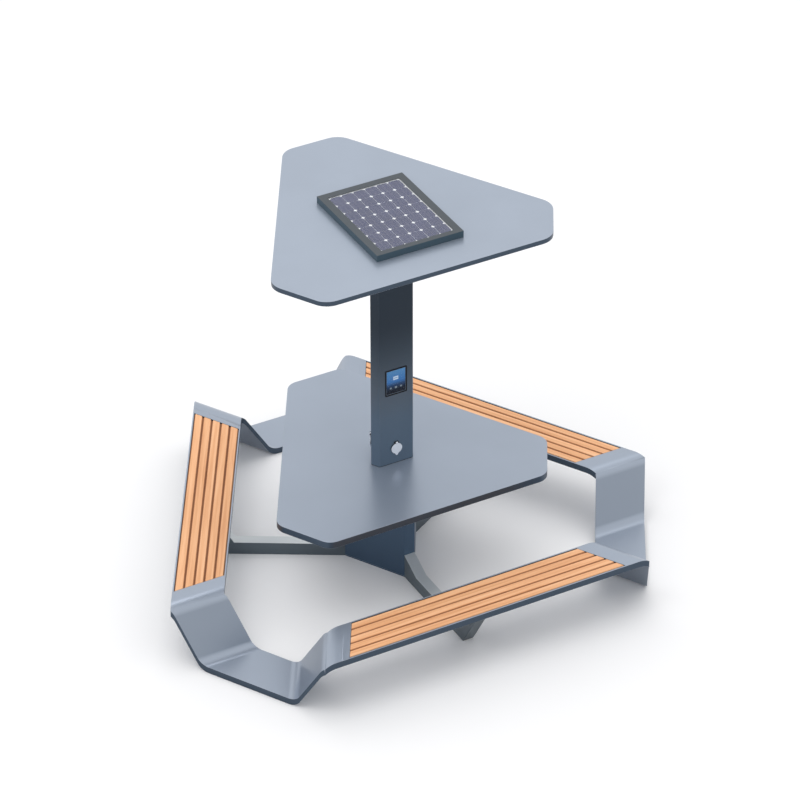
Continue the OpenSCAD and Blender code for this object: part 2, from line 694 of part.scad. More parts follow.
module socket_cover(a) color([0.76, 0.78, 0.82]) on_sockets([a]) difference() {
    union() {
        rod_x(cover_r, cover_x);
        translate([cover_x[0], 0, 0]) rotate([90, 0, 90]) linear_extrude(cover_t) polygon([
            [cover_tab_w, -cover_r / 2], [-cover_tab_w, -cover_r / 2], [-cover_tab_w, -tab_root_z],
            [-cover_tab_end / 2, -cover_r - cover_tab_l], [cover_tab_end / 2, -cover_r - cover_tab_l],
            [cover_tab_w, -tab_root_z]
        ]);
        block(cover_x, sym(knuckle_w - 2 * hole_gap), [cover_r / 2, hinge_z]);
        on_hinge() rod_y(knuckle_r, sym(knuckle_w - 2 * hole_gap));
    }
    on_hinge() rod_y(cover_pin_r + run_gap, sym(2 * flange_r));
}

// Service door on the side of the pedestal that faces away from the view
hinge_pin_r = 3;
hinge_r = 6;
hinge_w = 20;
hinge_leaf_w = 22;
hinge_end_w = 12;
door_gap = 0.5;
hinge_stand_off = 1;
hinge_side_gap = 2;
door_hinge_x = hinge_r + hinge_stand_off;
door_hinge_y = door_w / 2 + hinge_r + hinge_side_gap;
hinge_shares = [0.17, 0.83];
latch_inset = 35;
latch_y = -door_w / 2 + latch_inset;
latch_r = 11;
vent_count = 5;
vent_w = 150;
vent_h = 6;
vent_step = 16;
module on_door() at(far_left_angle) translate([ped_wide, 0, 0]) children();
module on_door_hinges() for (s = hinge_shares)
    translate([door_hinge_x, door_hinge_y, door_z + s * door_l]) children();
module service_door() color([0.17, 0.23, 0.29]) on_door() difference() {
    union() {
        block(from_to(door_gap, 0, door_t), sym(door_w), [door_z, door_z + door_l]);
        on_door_hinges() {
            block([door_gap - door_hinge_x, door_gap + door_t - door_hinge_x],
                [-hinge_leaf_w, 0], sym(hinge_w));
            disc(hinge_r, sym(hinge_w));
        }
    }
    on_door_hinges() disc(hinge_pin_r + run_gap, sym(hinge_w + 2 * over));
    translate([0, latch_y, door_z + door_l / 2]) rod_x(latch_r + run_gap, [-over, over]);
    for (k = [0:vent_count - 1])
        block([-over, over], sym(vent_w),
            from_to(door_z + door_l - 2 * door_lap - vent_step * (k + 1), 0, vent_h));
}
hinge_slack = 0.4;
hinge_side = [hinge_w / 2 + hinge_slack, hinge_w / 2 + hinge_slack + hinge_end_w];
module door_hinges() color([0.3, 0.33, 0.36]) on_door() on_door_hinges() difference() {
    union() for (s = [0, 1]) mirror([0, 0, s]) {
        disc(hinge_r, hinge_side);
        block([-door_hinge_x, door_t - door_hinge_x], [0, hinge_leaf_w], hinge_side);
    }
    disc(hinge_pin_r + run_gap, sym(2 * hinge_side[1] + over));
}
module door_pins() color([0.7, 0.71, 0.72]) on_door() on_door_hinges()
    disc(hinge_pin_r, sym(2 * hinge_side[1]));
// Quarter turn latch: a barrel through the door and a cam behind its edge
latch_head_r = 14;
latch_head_h = 4;
cam_w = 16;
cam_t = 4;
cam_l = 34;
cam_x = -18;
barrel_x = cam_x - cam_t;
key_w = 3;
key_l = 14;
key_depth = 2;
cam_hole_r = 7;
latch_front = door_gap + door_t + 1.5 * hole_gap;
module on_latch() translate([0, latch_y, door_z + door_l / 2]) children();
module latch_barrel() color([0.7, 0.71, 0.72]) on_door() on_latch() difference() {
    union() {
        rod_x(latch_head_r, from_to(latch_front, 0, latch_head_h));
        rod_x(latch_r, [cam_x + hole_gap, latch_front]);
        rod_x(cam_hole_r, [barrel_x, cam_x + hole_gap]);
    }
    block(from_to(latch_front + latch_head_h, -key_depth, over), sym(key_w), sym(key_l));
}
module latch_cam() color([0.6, 0.62, 0.64]) on_door() on_latch() difference() {
    union() {
        rod_x(cam_w / 2 + sleeve_wall, [cam_x - cam_t, cam_x]);
        block([cam_x - cam_t, cam_x], sym(cam_w), [0, cam_l]);
    }
    rod_x(cam_hole_r + run_gap, [barrel_x - over, cam_x + over]);
}

// Battery, its terminals, the charge controller on the wall, and the cables
battery_x = from_to(ped_wide - ped_wall - 1.5 * cam_l, -battery_d, 0);
terminal_r = 9;
terminal_h = 12;
battery_top = ped_plate_t + battery_h;
module battery() color([0.12, 0.13, 0.15]) at(far_left_angle)
    block(battery_x, sym(battery_w), [ped_plate_t, battery_top]);
terminal_x_shares = [0.1, 0.28];
terminal_y = -battery_w / 2 + 3 * terminal_r;
module terminal_places() for (s = terminal_x_shares) at(far_left_angle)
    translate([battery_x[0] + s * battery_d, terminal_y, battery_top]) children();
module battery_terminals() color([0.72, 0.6, 0.3]) terminal_places() cylinder(r = terminal_r, h = terminal_h);
controller_w = 180;
controller_d = 62;
controller_l = 170;
controller_drop = 133;
controller_z = from_to(ped_top_low - controller_drop, -controller_l, 0);
controller_x = from_to(ped_wide - ped_wall, -controller_d, 0);
module charge_controller() color([0.2, 0.25, 0.3]) at(rightmost_angle)
    block(controller_x, sym(controller_w), controller_z);
battery_cable_r = 5;
module battery_cables() color([0.06, 0.06, 0.07]) terminal_places()
    disc(battery_cable_r, [terminal_h, controller_z[0] - battery_top]);
block_r = 46;
block_h = 24;
block_top = foot_plate_top + block_h;
module terminal_block() color([0.2, 0.2, 0.22]) difference() {
    disc(block_r, [foot_plate_top, block_top]);
    disc(cable_r + hole_gap, [0, roof_h]);
}
// A cable of radius r that turns from level to upright with the bend radius b,
// from x on the level stretch at height z, down or up the upright at d
module elbow(d, z, b, r) translate([d + b, 0, z - b]) rotate([90, 0, 0]) rotate([0, 0, 90])
    rotate_extrude(angle = 90) translate([b, 0]) circle(r = r);
module drop(d, x, z, low, b, r) {
    translate([0, 0, z]) rod_x(r, [d + b, x]);
    elbow(d, z, b, r);
    translate([d, 0, 0]) disc(r, [low, z - b]);
}
module rise(d, x, z, high, b, r) {
    translate([0, 0, z]) rod_x(r, [d + b, x]);
    translate([0, 0, 2 * z]) mirror([0, 0, 1]) elbow(d, z, b, r);
    translate([d, 0, 0]) disc(r, [z + b, high]);
}
cable_bend = 30;
solar_port_up = 50;
trunk_port_down = 40;
solar_cable_z = controller_z[0] + solar_port_up;
trunk_cable_z = controller_z[1] - trunk_port_down;
module solar_cable() color([0.06, 0.06, 0.07]) at(rightmost_angle)
    rise(0, controller_x[0], solar_cable_z, backsheet_z[0] - jbox_h, cable_bend, cable_r);
lead_r = 3;
lead_bend = 12;
socket_lead_d = 32;
display_lead_d = 20;
trunk_d = 20;
module output_cables() color([0.06, 0.06, 0.07]) {
    for (a = seat_angles) at(a)
        drop(socket_lead_d, post_wide + socket_back, socket_z, block_top, lead_bend, lead_r);
    at(front_angle) drop(display_lead_d, post_wide + housing_x[0], display_z, block_top, lead_bend, lead_r);
    at(rightmost_angle) rise(trunk_d, controller_x[0], trunk_cable_z, foot_plate_top, cable_bend, lead_r);
}

base_plate();
pedestal_shell();
pedestal_top_plate();
floor_arm(left_angle);  // floor_arm_left
floor_arm(front_angle);  // floor_arm_front
floor_arm(back_angle);  // floor_arm_back
arm_head_bolts();
seat_frame(left_angle);  // seat_frame_left
seat_frame(front_angle);  // seat_frame_front
seat_frame(back_angle);  // seat_frame_back
corner_frame(near_left_angle);  // corner_frame_near_left
corner_frame(rightmost_angle);  // corner_frame_right
corner_frame(far_left_angle);  // corner_frame_far_left
splice_plates();
splice_bolts();
slat_bearers();
seat_slats(left_angle);  // seat_slats_left
seat_slats(front_angle);  // seat_slats_front
seat_slats(back_angle);  // seat_slats_back
slat_screws();
table_top();
table_ribs();
table_underpanel();
table_bolts();
post_gasket();
post_shell();
post_foot_plate();
post_foot_bolts();
post_cap_plate();
roof_top();
roof_ribs();
roof_underpanel();
roof_bolts();
panel_frame();
panel_glass();
panel_cells();
panel_backsheet();
junction_box();
display_bezel();
display_glass();
display_screen();
display_housing();
socket_housings();
socket_sleeves();
cover_pins();
socket_cover(front_angle);  // socket_cover_front
socket_cover(left_angle);  // socket_cover_left
socket_cover(back_angle);  // socket_cover_back
service_door();
door_hinges();
door_pins();
latch_barrel();
latch_cam();
battery();
battery_terminals();
charge_controller();
terminal_block();
solar_cable();
output_cables();
battery_cables();
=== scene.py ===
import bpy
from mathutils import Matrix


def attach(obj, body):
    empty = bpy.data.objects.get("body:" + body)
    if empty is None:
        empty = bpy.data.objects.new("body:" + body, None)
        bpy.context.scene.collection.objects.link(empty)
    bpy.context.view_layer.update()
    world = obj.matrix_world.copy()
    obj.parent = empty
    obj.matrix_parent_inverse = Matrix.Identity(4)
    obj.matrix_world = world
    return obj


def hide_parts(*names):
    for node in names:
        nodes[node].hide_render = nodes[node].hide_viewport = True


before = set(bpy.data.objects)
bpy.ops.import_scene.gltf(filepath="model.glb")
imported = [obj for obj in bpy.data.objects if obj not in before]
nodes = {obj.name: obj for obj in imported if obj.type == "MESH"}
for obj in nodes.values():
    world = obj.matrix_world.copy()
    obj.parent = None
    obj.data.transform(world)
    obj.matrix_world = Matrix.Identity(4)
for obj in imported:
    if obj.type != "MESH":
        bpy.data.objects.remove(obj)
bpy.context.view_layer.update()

import math

import bmesh
import bpy
from mathutils import Matrix, Vector

# ---- The view of the photograph ----
# The object is seen from above its front seat through a long lens, so its
# upright lines stay nearly parallel. The turn, the tilt down and the roll of
# the camera are in degrees, and the lens is in millimetres.
VIEW_PLACE, VIEW_TURN, VIEW_TILT, VIEW_ROLL = (0.6349, -21.8134, 16.0955), 1.4674, 34.2992, 0.104
VIEW_SENSOR, VIEW_LENS, VIEW_REACH = 36.0, 185.98, 300.0
view = bpy.data.cameras.new("photo_view")
view.sensor_width = VIEW_SENSOR
view.lens = VIEW_LENS
view.clip_end = VIEW_REACH
camera = bpy.data.objects.new("photo_view", view)
bpy.context.scene.collection.objects.link(camera)
camera.location = VIEW_PLACE
camera.rotation_euler = (
    Matrix.Rotation(math.radians(VIEW_TURN), 3, "Z")
    @ Matrix.Rotation(math.radians(90 - VIEW_TILT), 3, "X")
    @ Matrix.Rotation(math.radians(-VIEW_ROLL), 3, "Z")
).to_euler()
bpy.context.scene.camera = camera
bpy.context.scene.view_settings.view_transform = "Standard"

# ---- Pedestal: base plate, folded shell and top plate ----
# A hollow three-sided column folded from steel sheet and welded to a base
# plate on the ground. Like all the steel it has a satin powder coat of slate
# blue, painted paler where it faces up as painted sky light.
COAT_SKY_LIT_TOP = (0.355, 0.405, 0.485)
COAT_SHADED_SIDE = (0.05, 0.075, 0.11)
# Heights between which the sides take on their high tone, a painted shade, and
# how level a face is where the painted shade of the sides turns to the painted
# sky-lit tone of the top
SHADE_RISE_FROM, SHADE_RISE_TO = 0.9, 1.9
SKY_LIT_FROM, SKY_LIT_TO = 0.05, 0.72
# Size and strength of the coat's faint clouds, and of its orange peel
CLOUD_SCALE, CLOUD_DETAIL, CLOUD_DARK, CLOUD_LIGHT, CLOUD_ROUGHNESS = 1.7, 6.0, 0.92, 1.08, 0.1
PEEL_SCALE, PEEL_STRENGTH, PEEL_DEPTH, COAT_METALLIC = 380.0, 0.06, 0.0004, 0.6


def coat_effect_and_painted_light():
    """Powder coat: orange peel and faint clouds, plus painted light: a paler
    painted sky-lit tone on faces that look up and, at Underside -1, down, and a
    painted shade on the sides higher up."""
    group = bpy.data.node_groups.new("powder_coat_and_painted_light", "ShaderNodeTree")
    new = group.interface.new_socket
    new("Top", in_out="INPUT", socket_type="NodeSocketColor")
    new("Side", in_out="INPUT", socket_type="NodeSocketColor")
    new("Shaded High Side", in_out="INPUT", socket_type="NodeSocketColor")
    new("Underside", in_out="INPUT", socket_type="NodeSocketFloat")
    new("Base Roughness", in_out="INPUT", socket_type="NodeSocketFloat")
    new("Colour", in_out="OUTPUT", socket_type="NodeSocketColor")
    new("Roughness", in_out="OUTPUT", socket_type="NodeSocketFloat")
    new("Peel", in_out="OUTPUT", socket_type="NodeSocketFloat")
    n, link = group.nodes, group.links.new
    given, out = n.new("NodeGroupInput"), n.new("NodeGroupOutput")
    place, level = n.new("ShaderNodeTexCoord"), n.new("ShaderNodeSeparateXYZ")
    link(place.outputs["Object"], level.inputs[0])
    shade_by_height = n.new("ShaderNodeMapRange")
    shade_by_height.interpolation_type = "SMOOTHSTEP"
    shade_by_height.inputs["From Min"].default_value, shade_by_height.inputs["From Max"].default_value = SHADE_RISE_FROM, SHADE_RISE_TO
    link(level.outputs["Z"], shade_by_height.inputs["Value"])
    side = n.new("ShaderNodeMix")
    side.data_type = "RGBA"
    link(shade_by_height.outputs[0], side.inputs["Factor"])
    link(given.outputs["Side"], side.inputs["A"])
    link(given.outputs["Shaded High Side"], side.inputs["B"])
    facing = n.new("ShaderNodeSeparateXYZ")
    link(n.new("ShaderNodeNewGeometry").outputs["Normal"], facing.inputs[0])
    up = n.new("ShaderNodeMapRange")
    up.interpolation_type = "SMOOTHSTEP"
    up.inputs["From Min"].default_value, up.inputs["From Max"].default_value = SKY_LIT_FROM, SKY_LIT_TO
    below, level_share = n.new("ShaderNodeMath"), n.new("ShaderNodeMath")
    below.operation, level_share.operation = "MULTIPLY", "MAXIMUM"
    link(facing.outputs["Z"], below.inputs[0])
    link(given.outputs["Underside"], below.inputs[1])
    link(facing.outputs["Z"], level_share.inputs[0])
    link(below.outputs[0], level_share.inputs[1])
    link(level_share.outputs[0], up.inputs["Value"])
    tone = n.new("ShaderNodeMix")
    tone.data_type = "RGBA"
    link(up.outputs[0], tone.inputs["Factor"])
    link(side.outputs["Result"], tone.inputs["A"])
    link(given.outputs["Top"], tone.inputs["B"])
    cloud = n.new("ShaderNodeTexNoise")
    cloud.inputs["Scale"].default_value, cloud.inputs["Detail"].default_value = CLOUD_SCALE, CLOUD_DETAIL
    link(place.outputs["Object"], cloud.inputs["Vector"])
    shade = n.new("ShaderNodeMapRange")
    shade.inputs["To Min"].default_value, shade.inputs["To Max"].default_value = CLOUD_DARK, CLOUD_LIGHT
    link(cloud.outputs["Fac"], shade.inputs["Value"])
    clouded = n.new("ShaderNodeMix")
    clouded.data_type, clouded.blend_type = "RGBA", "MULTIPLY"
    clouded.inputs["Factor"].default_value = 1.0
    link(tone.outputs["Result"], clouded.inputs["A"])
    link(shade.outputs[0], clouded.inputs["B"])
    link(clouded.outputs["Result"], out.inputs["Colour"])
    rough = n.new("ShaderNodeMath")
    rough.operation = "MULTIPLY_ADD"
    rough.inputs[1].default_value = CLOUD_ROUGHNESS
    link(cloud.outputs["Fac"], rough.inputs[0])
    link(given.outputs["Base Roughness"], rough.inputs[2])
    link(rough.outputs[0], out.inputs["Roughness"])
    peel = n.new("ShaderNodeTexNoise")
    peel.inputs["Scale"].default_value = PEEL_SCALE
    link(place.outputs["Object"], peel.inputs["Vector"])
    link(peel.outputs["Fac"], out.inputs["Peel"])
    return group


# Coats with painted light: the top colour is painted sky light, the side colour painted shade.
def powder_coat_and_painted_light(name, top=COAT_SKY_LIT_TOP, side=COAT_SHADED_SIDE, shaded_high=None, under=-1.0, roughness=0.27):
    material = bpy.data.materials.new(name)
    material.use_nodes = True
    n, link = material.node_tree.nodes, material.node_tree.links.new
    paint, effect = n["Principled BSDF"], n.new("ShaderNodeGroup")
    effect.node_tree = bpy.data.node_groups.get("powder_coat_and_painted_light") or coat_effect_and_painted_light()
    effect.inputs["Top"].default_value = (*top, 1)
    effect.inputs["Side"].default_value = (*side, 1)
    effect.inputs["Shaded High Side"].default_value = (*(shaded_high or side), 1)
    effect.inputs["Underside"].default_value = under
    effect.inputs["Base Roughness"].default_value = roughness
    link(effect.outputs["Colour"], paint.inputs["Base Color"])
    link(effect.outputs["Roughness"], paint.inputs["Roughness"])
    peel = n.new("ShaderNodeBump")
    peel.inputs["Strength"].default_value = PEEL_STRENGTH
    peel.inputs["Distance"].default_value = PEEL_DEPTH
    link(effect.outputs["Peel"], peel.inputs["Height"])
    link(peel.outputs["Normal"], paint.inputs["Normal"])
    paint.inputs["Metallic"].default_value = COAT_METALLIC
    return material


def dress(material, *pieces):
    """Gives pieces, or the CAD nodes of these names, their finish."""
    for piece in pieces:
        mesh = (nodes[piece] if isinstance(piece, str) else piece).data
        mesh.materials.clear()
        mesh.materials.append(material)


# Corners closer than this are one corner, faces that differ by less than the
# flat angle are one face, edges sharper than the edge angle are rounded unless
# they are very short, and faces that meet below the smooth angle shade as one
MERGED, SHORTEST_EDGE, ROUND_STEPS = 0.00002, 0.002, 3
FLAT_ANGLE, EDGE_ANGLE, SMOOTH_ANGLE = math.radians(0.6), math.radians(40), math.radians(30)


def eased(node, radius, body="frame", split=False, keep=lambda middle: False):
    """A CAD node's shape with its sharp edges eased, in the node's place. Split
    cuts up faces with a hollow outline, which the rounding would fill across."""
    mesh = nodes[node].data.copy()
    edit = bmesh.new()
    edit.from_mesh(mesh)
    bmesh.ops.remove_doubles(edit, verts=edit.verts, dist=MERGED)
    bmesh.ops.dissolve_limit(edit, angle_limit=FLAT_ANGLE, verts=edit.verts, edges=edit.edges)
    if split:
        hollow = [face for face in edit.faces if not all(loop.is_convex for loop in face.loops)]
        bmesh.ops.triangulate(edit, faces=hollow)
    weight = edit.edges.layers.float.new("bevel_weight_edge")
    for edge in edit.edges:
        sharp = edge.is_manifold and edge.is_convex and edge.calc_face_angle() > EDGE_ANGLE
        sharp = sharp and edge.calc_length() > SHORTEST_EDGE
        if sharp and not keep((edge.verts[0].co + edge.verts[1].co) / 2):
            edge[weight] = 1.0
    edit.to_mesh(mesh)
    edit.free()
    piece = bpy.data.objects.new(node + "_eased", mesh)
    bpy.context.scene.collection.objects.link(piece)
    bpy.ops.object.select_all(action="DESELECT")
    piece.select_set(True)
    bpy.context.view_layer.objects.active = piece
    bpy.ops.object.shade_smooth_by_angle(angle=SMOOTH_ANGLE)
    bevel = piece.modifiers.new("edges", "BEVEL")
    bevel.width, bevel.segments, bevel.limit_method = radius, ROUND_STEPS, "WEIGHT"
    bevel.use_clamp_overlap, bevel.harden_normals = False, True
    bpy.ops.object.modifier_apply(modifier="edges")
    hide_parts(node)
    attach(piece, body)
    return piece


# Painted light on every coat: paler painted sky light on tops, darker painted shade on the sides.
slate = powder_coat_and_painted_light("slate_coat")
# The pedestal's sides take their own bluer painted shade.
deep_slate = powder_coat_and_painted_light("pedestal_coat", side=(0.065, 0.11, 0.175))
dress(deep_slate, "base_plate", "pedestal_top_plate", eased("pedestal_shell", 0.003))

# ---- Floor arms ----
# Three box-section arms lie on the ground and turn up to carry the seats.
# They are welded from cut plate, with a gusset where they leave the pedestal,
# and their coat is a plainer grey, painted pale on top as painted sky light
# and dark on the sides and underneath as painted shade.
# Painted light: pale painted sky light on the arms' tops, painted shade on their sides and undersides.
grey_coat = powder_coat_and_painted_light("arm_coat", (0.66, 0.7, 0.72), (0.12, 0.15, 0.175), under=0.0)
for side in ("left", "front", "back"):
    dress(grey_coat, eased("floor_arm_" + side, 0.002))

# ---- The ring: seats and corners ----
# One folded steel band that carries the three seats and dips to the ground at
# each corner as two sloping legs and a foot. The seams between seats and
# corners are ground flush, so their edges stay unrounded.
# Distance of a seam from the mitre between seat and corner, square to it, how
# close to it an edge counts as its edge, and a radius inside the whole ring
SEAM, SEAM_REACH, RING_FROM = 0.2434, 0.0008, 0.9


def at_seam(p):
    """Whether a point lies at a seam of one of the three seats."""
    for bench in (180, -60, 60):
        a = math.radians(bench)
        out, along = p.x * math.cos(a) + p.y * math.sin(a), abs(p.y * math.cos(a) - p.x * math.sin(a))
        past_mitre = along * math.cos(math.pi / 6) - out * math.sin(math.pi / 6)
        if out > RING_FROM and abs(past_mitre - SEAM) < SEAM_REACH:
            return True
    return False


for part in ("seat_frame_left", "seat_frame_front", "seat_frame_back"):
    dress(slate, eased(part, 0.0015, keep=at_seam))
for part in ("corner_frame_near_left", "corner_frame_right", "corner_frame_far_left"):
    dress(slate, eased(part, 0.0006, split=True, keep=at_seam))

# ---- Splice plates, bolts and screws ----
# Zinc plated hardware. Splice plates inside the ring's seams take bolts from
# below, and the arms are bolted up through the floors of the seat trays.
def plated_steel():
    material = bpy.data.materials.new("plated_steel")
    material.use_nodes = True
    n, link = material.node_tree.nodes, material.node_tree.links.new
    metal, place, streak = n["Principled BSDF"], n.new("ShaderNodeTexCoord"), n.new("ShaderNodeTexNoise")
    streak.inputs["Scale"].default_value = 90.0
    link(place.outputs["Object"], streak.inputs["Vector"])
    rough = n.new("ShaderNodeMapRange")
    rough.inputs["To Min"].default_value, rough.inputs["To Max"].default_value = 0.22, 0.5
    link(streak.outputs["Fac"], rough.inputs["Value"])
    link(rough.outputs[0], metal.inputs["Roughness"])
    tint = n.new("ShaderNodeValToRGB")
    tint.color_ramp.elements[0].color = (0.42, 0.43, 0.45, 1)
    tint.color_ramp.elements[1].color = (0.66, 0.66, 0.67, 1)
    link(streak.outputs["Fac"], tint.inputs["Fac"])
    link(tint.outputs["Color"], metal.inputs["Base Color"])
    metal.inputs["Metallic"].default_value = 1.0
    return material


zinc = plated_steel()
dress(zinc, "splice_plates", "splice_bolts", "arm_head_bolts", "slat_screws", "table_bolts",
      "post_foot_bolts", "roof_bolts", "door_pins", "cover_pins")

# ---- Slats on their bearers ----
# Five boards of pale, warm hardwood on each seat, oiled and with eased edges,
# screwed from below to steel bearers that lie across the tray.
# Pitch of the boards, distance of the middle board from the axis, and height
# of the grooves' floor, above which the painted shade of a groove fades
PITCH, MIDDLE, GROOVE_FLOOR, GROOVE_FADE = 0.0616, 1.1745, 0.3975, 0.004
GRAIN_STRETCH, GRAIN_DETAIL, GRAIN_WAVE = (1.6, 42.0, 42.0), 8.0, 0.6
WOOD_DARK, WOOD, WOOD_PALE = (0.72, 0.335, 0.15, 1), (0.88, 0.465, 0.235, 1), (0.96, 0.56, 0.315, 1)
BOARD_DULL, BOARD_CLEAN, GROOVE_SHADE = (0.93, 0.9, 0.86, 1), (1.0, 1.0, 1.0, 1), (0.42, 0.33, 0.27, 1)


def timber(name, along):
    """Boards with their grain along the direction given in degrees, each board
    with a slightly different tone, and painted shade down in the grooves."""
    material = bpy.data.materials.new(name)
    material.use_nodes = True
    n, link = material.node_tree.nodes, material.node_tree.links.new
    board, place, turned = n["Principled BSDF"], n.new("ShaderNodeTexCoord"), n.new("ShaderNodeMapping")
    turned.inputs["Rotation"].default_value = (0, 0, math.radians(-along))
    link(place.outputs["Object"], turned.inputs["Vector"])
    drawn = n.new("ShaderNodeMapping")
    drawn.inputs["Scale"].default_value = GRAIN_STRETCH
    link(turned.outputs[0], drawn.inputs["Vector"])
    grain = n.new("ShaderNodeTexNoise")
    grain.inputs["Scale"].default_value, grain.inputs["Detail"].default_value = 1.0, GRAIN_DETAIL
    grain.inputs["Distortion"].default_value = GRAIN_WAVE
    link(drawn.outputs[0], grain.inputs["Vector"])
    colour = n.new("ShaderNodeValToRGB")
    stops = colour.color_ramp.elements
    stops[0].position, stops[0].color = 0.25, WOOD_DARK
    stops[1].position, stops[1].color = 0.75, WOOD_PALE
    stops.new(0.5).color = WOOD
    link(grain.outputs["Fac"], colour.inputs["Fac"])
    parts = n.new("ShaderNodeSeparateXYZ")
    link(turned.outputs[0], parts.inputs[0])
    count, cut = n.new("ShaderNodeMath"), n.new("ShaderNodeMath")
    count.operation, cut.operation = "MULTIPLY_ADD", "FLOOR"
    count.inputs[1].default_value, count.inputs[2].default_value = 1 / PITCH, 0.5 - MIDDLE / PITCH
    link(parts.outputs["Y"], count.inputs[0])
    link(count.outputs[0], cut.inputs[0])
    each = n.new("ShaderNodeTexWhiteNoise")
    each.noise_dimensions = "1D"
    link(cut.outputs[0], each.inputs["W"])
    tones = n.new("ShaderNodeValToRGB")
    tones.color_ramp.elements[0].color = BOARD_DULL
    tones.color_ramp.elements[1].color = BOARD_CLEAN
    link(each.outputs["Value"], tones.inputs["Fac"])
    # Painted shade: below the grooves' floor height the boards are darkened as shade in the grooves.
    deep = n.new("ShaderNodeMapRange")
    deep.inputs["From Min"].default_value = GROOVE_FLOOR
    deep.inputs["From Max"].default_value = GROOVE_FLOOR + GROOVE_FADE
    link(parts.outputs["Z"], deep.inputs["Value"])
    groove_shade_mix = n.new("ShaderNodeMix")
    groove_shade_mix.data_type = "RGBA"
    groove_shade_mix.inputs["A"].default_value = GROOVE_SHADE
    link(deep.outputs[0], groove_shade_mix.inputs["Factor"])
    link(tones.outputs["Color"], groove_shade_mix.inputs["B"])
    stained = n.new("ShaderNodeMix")
    stained.data_type, stained.blend_type = "RGBA", "MULTIPLY"
    stained.inputs["Factor"].default_value = 1.0
    link(colour.outputs["Color"], stained.inputs["A"])
    link(groove_shade_mix.outputs["Result"], stained.inputs["B"])
    link(stained.outputs["Result"], board.inputs["Base Color"])
    pores = n.new("ShaderNodeBump")
    pores.inputs["Strength"].default_value, pores.inputs["Distance"].default_value = 0.15, 0.0006
    link(grain.outputs["Fac"], pores.inputs["Height"])
    link(pores.outputs["Normal"], board.inputs["Normal"])
    board.inputs["Roughness"].default_value = 0.55
    return material


for side, along in (("left", 90), ("front", 30), ("back", 150)):
    dress(timber("timber_" + side, along), eased("seat_slats_" + side, 0.003))
dress(slate, "slat_bearers")

# ---- Table ----
# A folded steel pan with rounded corners, stiffened inside by a hub with six
# ribs and closed underneath by a flat panel.
dress(slate, "table_ribs", "table_underpanel", eased("table_top", 0.0025))

# ---- Post on its gasket ----
# A tall folded column with three broad and three narrow sides, bolted to the
# table through a foot plate. A thin black rubber gasket seals the joint.
def rubber(name, colour):
    material = bpy.data.materials.new(name)
    material.use_nodes = True
    n, link = material.node_tree.nodes, material.node_tree.links.new
    skin, place, speck = n["Principled BSDF"], n.new("ShaderNodeTexCoord"), n.new("ShaderNodeTexNoise")
    speck.inputs["Scale"].default_value = 600.0
    link(place.outputs["Object"], speck.inputs["Vector"])
    fine = n.new("ShaderNodeBump")
    fine.inputs["Strength"].default_value, fine.inputs["Distance"].default_value = 0.2, 0.0003
    link(speck.outputs["Fac"], fine.inputs["Height"])
    link(fine.outputs["Normal"], skin.inputs["Normal"])
    tint = n.new("ShaderNodeMix")
    tint.data_type = "RGBA"
    tint.inputs["A"].default_value = (*colour, 1)
    tint.inputs["B"].default_value = (*(c * 1.5 + 0.003 for c in colour), 1)
    link(speck.outputs["Fac"], tint.inputs["Factor"])
    link(tint.outputs["Result"], skin.inputs["Base Color"])
    skin.inputs["Roughness"].default_value = 0.6
    return material


black_rubber = rubber("black_rubber", (0.012, 0.013, 0.015))
dress(black_rubber, "post_gasket")
# The post's sides are painted lighter low down, a painted reflection of the table, and darker high up, a
# painted shade under the roof.
post_coat = powder_coat_and_painted_light("post_coat", side=(0.14, 0.195, 0.26), shaded_high=(0.014, 0.025, 0.04))
dress(post_coat, "post_foot_plate", "post_cap_plate", eased("post_shell", 0.0005))

# ---- Roof ----
# The same folded pan as the table, but thinner and with larger corners. The
# post's cap plate is bolted to the hub inside it.
dress(slate, "roof_ribs", "roof_underpanel", eased("roof_top", 0.0025))

# ---- Solar panel ----
# A dark anodised frame round a glass laminate. Square cells with cut corners
# lie on a white backsheet, which shows between them as thin lines and small
# diamonds.
# Like the coats, the frame's top and sides take tones painted by which way each face looks, painted light.
anodised = powder_coat_and_painted_light("dark_anodised", (0.075, 0.088, 0.1), (0.075, 0.12, 0.15), roughness=0.35)
dress(anodised, eased("panel_frame", 0.0012))


def clear_glass(name, roughness, cover):
    material = bpy.data.materials.new(name)
    material.use_nodes = True
    n, link = material.node_tree.nodes, material.node_tree.links.new
    pane, place, film = n["Principled BSDF"], n.new("ShaderNodeTexCoord"), n.new("ShaderNodeTexNoise")
    film.inputs["Scale"].default_value = 14.0
    link(place.outputs["Object"], film.inputs["Vector"])
    haze = n.new("ShaderNodeMapRange")
    haze.inputs["To Min"].default_value, haze.inputs["To Max"].default_value = roughness, roughness + 0.02
    link(film.outputs["Fac"], haze.inputs["Value"])
    link(haze.outputs[0], pane.inputs["Roughness"])
    pane.inputs["Base Color"].default_value = (0.3, 0.33, 0.38, 1)
    pane.inputs["Alpha"].default_value = cover
    return material


# Direction of the panel, pitch of the cells, busbars on each cell, and the
# share of their pitch that each fills
PANEL_TURN, CELL_PITCH, BUSBARS, BUSBAR_SHARE = 60, 0.0823333, 3, 0.05
CELL_DARK, CELL_PALE, BUSBAR = (0.036, 0.039, 0.1, 1), (0.07, 0.074, 0.165, 1), (0.17, 0.18, 0.25, 1)


